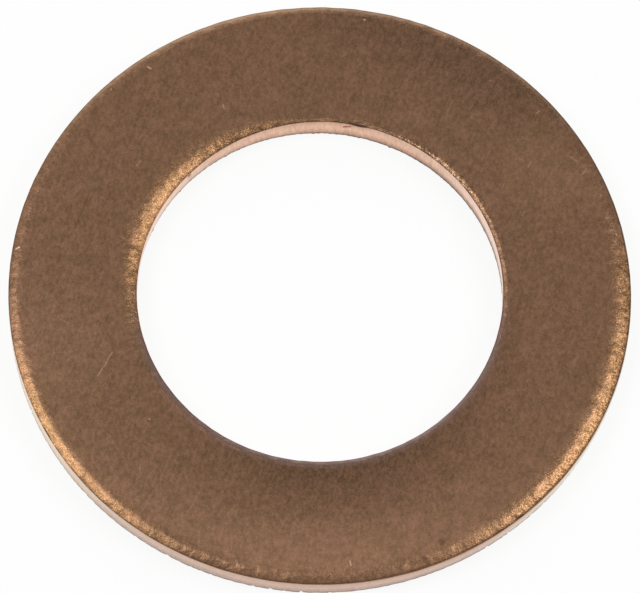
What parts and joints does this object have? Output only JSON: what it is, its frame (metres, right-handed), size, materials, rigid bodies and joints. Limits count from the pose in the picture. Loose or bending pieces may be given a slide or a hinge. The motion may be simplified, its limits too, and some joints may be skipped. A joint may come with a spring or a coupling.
{
  "type": "copper crush washer",
  "caption": "Flat copper ring with rolled upper edges and sheared walls, crushed under the head of a drain plug to seal its thread.",
  "frame": {"origin": "centre of the lower sealing face, on the bore axis", "axes": "+Z along the bore axis, towards the upper face with the die roll"},
  "size_m": [0.024, 0.024, 0.0012],
  "materials": {
    "copper": "tarnished copper, bright on the sheared walls"
  },
  "bodies": {
    "root": {"washer": "copper"}
  },
  "joints": []
}
